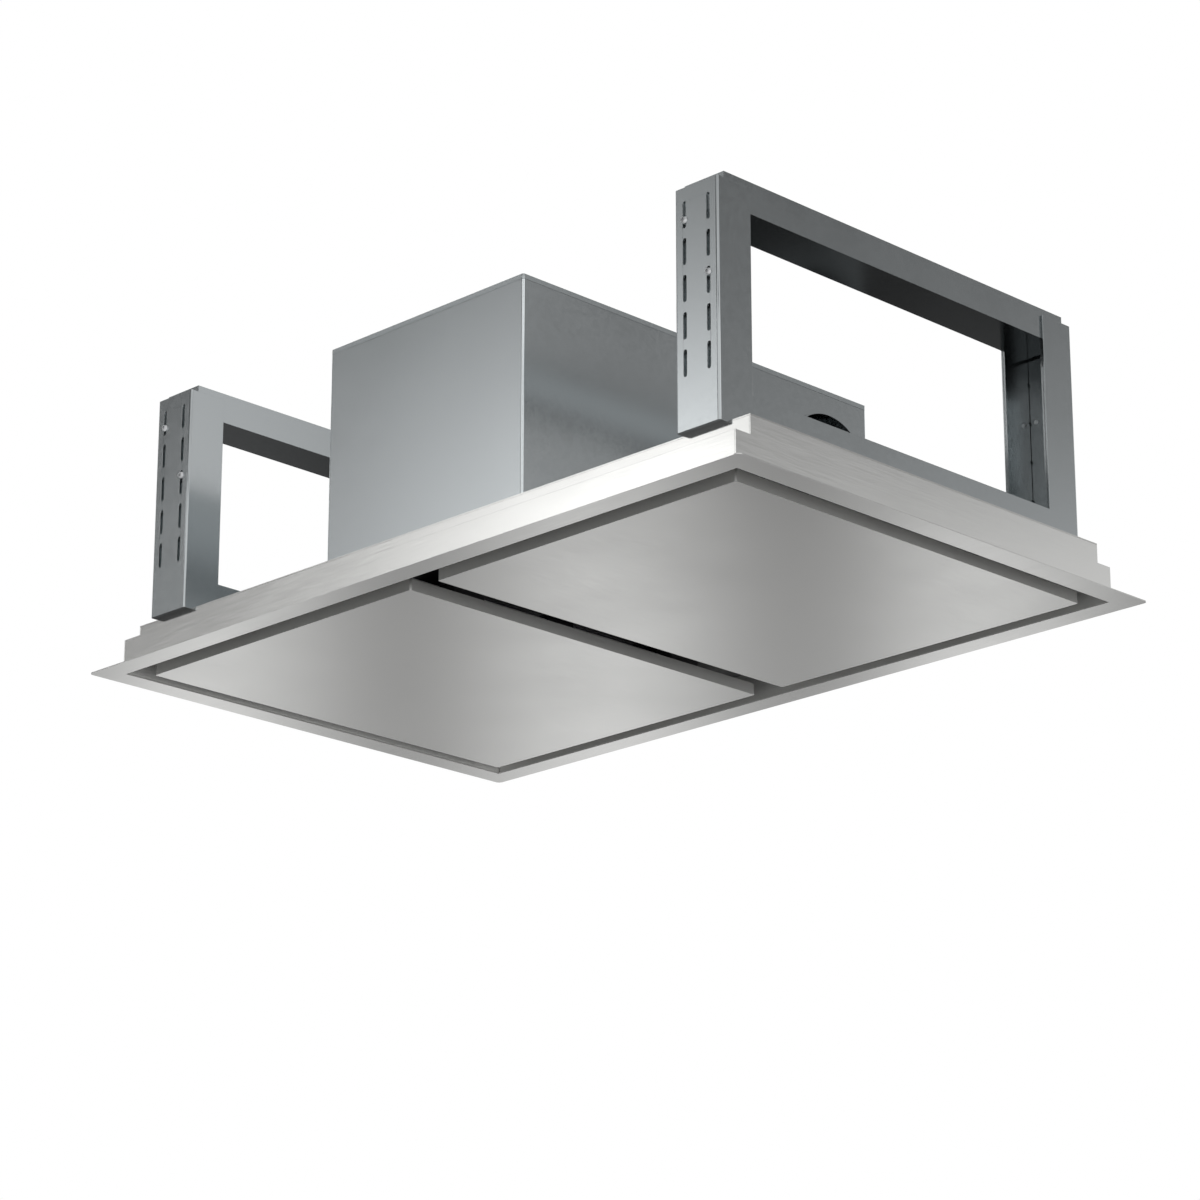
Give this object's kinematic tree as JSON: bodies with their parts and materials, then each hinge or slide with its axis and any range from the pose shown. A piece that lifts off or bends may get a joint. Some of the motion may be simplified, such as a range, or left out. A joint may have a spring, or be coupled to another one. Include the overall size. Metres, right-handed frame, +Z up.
{
  "type": "ceiling range hood",
  "caption": "Rectangular ceiling range hood with edge-suction panels, a motor housing with a side duct outlet, and slotted telescopic hanging brackets.",
  "frame": {"origin": "centre of the suction panels' underside, the lowest face of the hood", "axes": "+X along the long side, towards the duct outlet; +Y along the short side, towards the outlet's end; +Z up, towards the ceiling bolts"},
  "size_m": [0.9, 0.574, 0.299],
  "materials": {
    "stainless": "fine brushed stainless sheet",
    "panel_stainless": "fine brushed stainless sheet",
    "galvanised": "smooth galvanised sheet",
    "galvanised_lid": "smooth galvanised sheet",
    "zinc_plate": "bright zinc plating",
    "filter_aluminium": "satin",
    "black_enamel": "matte enamel",
    "motor_enamel": "satin enamel",
    "capacitor_can": "satin",
    "black_plastic": "matte",
    "grey_plastic": "matte",
    "black_rubber": "matte"
  },
  "bodies": {
    "hood": {"trim_flange": "stainless", "front_wall": "stainless", "rear_wall": "stainless", "left_end_wall": "stainless", "right_end_wall": "stainless", "left_top_plate": "stainless", "right_top_plate": "stainless", "top_strips": "stainless", "filter_plate": "black_enamel", "plate_rivets": "zinc_plate", "filter_hooks": "black_enamel", "left_filter_rim": "filter_aluminium", "left_filter_mesh": "filter_aluminium", "right_filter_rim": "filter_aluminium", "right_filter_mesh": "filter_aluminium", "hinge_brackets": "galvanised", "hinge_pins": "zinc_plate", "catch_magnets": "black_plastic", "housing_end_panels": "galvanised", "left_housing_side": "galvanised", "right_housing_side": "galvanised", "housing_lid": "galvanised_lid", "outlet_collar": "galvanised", "damper_ring": "galvanised", "damper_spindle": "zinc_plate", "blower_scroll": "black_plastic", "inlet_ring": "galvanised", "motor_body": "motor_enamel", "motor_mount": "galvanised", "motor_grommets": "black_rubber", "motor_screws": "zinc_plate", "blower_cradle": "galvanised", "run_capacitor": "capacitor_can", "control_box": "grey_plastic", "control_box_cover": "grey_plastic", "terminal_block": "black_plastic", "cable_gland": "black_plastic", "left_lower_bracket": "galvanised", "left_slot_screws": "zinc_plate", "left_clamp_plates": "galvanised", "right_lower_bracket": "galvanised", "right_slot_screws": "zinc_plate", "right_clamp_plates": "galvanised", "top_screws": "zinc_plate"},
    "left_panel": {"left_panel_skin": "panel_stainless", "left_panel_back": "galvanised", "left_strike_plates": "zinc_plate"},
    "right_panel": {"right_panel_skin": "panel_stainless", "right_panel_back": "galvanised", "right_strike_plates": "zinc_plate"},
    "left_hanger": {"left_upper_bracket": "galvanised", "left_ceiling_nuts": "zinc_plate"},
    "right_hanger": {"right_upper_bracket": "galvanised", "right_ceiling_nuts": "zinc_plate"},
    "fan_rotor": {"impeller": "black_plastic", "motor_shaft": "zinc_plate"},
    "front_damper": {"front_damper_flap": "galvanised"},
    "rear_damper": {"rear_damper_flap": "galvanised"},
    "left_latch": {"left_filter_latch": "black_plastic"},
    "right_latch": {"right_filter_latch": "black_plastic"}
  },
  "joints": [
    {"name": "left_panel_hinge", "type": "hinge", "parent": "hood", "child": "left_panel", "pos_m": [-0.3896, 0, 0.0174], "axis": [0, 1, 0], "range_deg": [0, 85]},
    {"name": "right_panel_hinge", "type": "hinge", "parent": "hood", "child": "right_panel", "pos_m": [0.3896, 0, 0.0174], "axis": [0, -1, 0], "range_deg": [0, 85]},
    {"name": "left_bracket_slide", "type": "slide", "parent": "hood", "child": "left_hanger", "axis": [0, 0, 1], "range_m": [0, 0.12]},
    {"name": "right_bracket_slide", "type": "slide", "parent": "hood", "child": "right_hanger", "axis": [0, 0, 1], "range_m": [0, 0.12]},
    {"name": "fan_spin", "type": "hinge", "parent": "hood", "child": "fan_rotor", "pos_m": [-0.02, 0.181, 0.142], "axis": [0, 1, 0], "continuous": true},
    {"name": "front_damper_swing", "type": "hinge", "parent": "hood", "child": "front_damper", "pos_m": [0.067, 0.181, 0.188], "axis": [0, 0, 1], "range_deg": [0, 75], "stiffness_Nm_per_rad": 0.01, "springref_deg": -11.46},
    {"name": "rear_damper_swing", "type": "hinge", "parent": "hood", "child": "rear_damper", "pos_m": [0.067, 0.181, 0.188], "axis": [0, 0, -1], "range_deg": [0, 75], "stiffness_Nm_per_rad": 0.01, "springref_deg": -11.46},
    {"name": "left_latch_slide", "type": "slide", "parent": "hood", "child": "left_latch", "axis": [-1, 0, 0], "range_m": [0, 0.007], "stiffness_N_per_m": 150, "springref_m": -0.004},
    {"name": "right_latch_slide", "type": "slide", "parent": "hood", "child": "right_latch", "axis": [1, 0, 0], "range_m": [0, 0.007], "stiffness_N_per_m": 150, "springref_m": -0.004}
  ]
}
